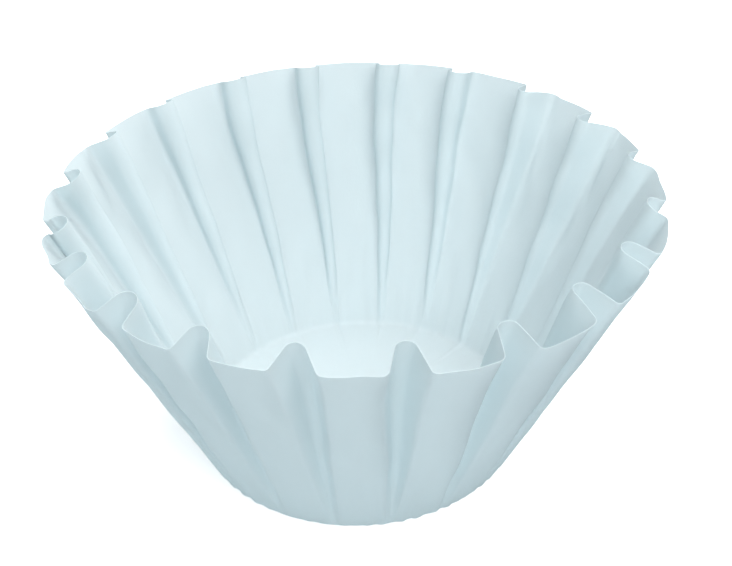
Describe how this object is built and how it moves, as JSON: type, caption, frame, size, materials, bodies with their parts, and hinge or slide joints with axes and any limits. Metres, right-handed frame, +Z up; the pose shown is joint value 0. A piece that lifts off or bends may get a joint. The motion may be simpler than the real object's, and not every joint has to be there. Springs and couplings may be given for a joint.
{
  "type": "paper coffee filter",
  "caption": "Flat-bottomed basket coffee filter of thin white paper, its flaring wall pressed into broad flutes with narrow inner folds.",
  "frame": {"origin": "middle of the flat base, on the plane it stands on", "axes": "+Z up along the filter's axis, towards the open mouth; -Y is the front"},
  "size_m": [0.155, 0.155, 0.0777],
  "materials": {
    "paper": "uncoated crepe paper, cool white, matte and a little translucent"
  },
  "bodies": {
    "root": {"filter_paper": "paper"}
  },
  "joints": []
}
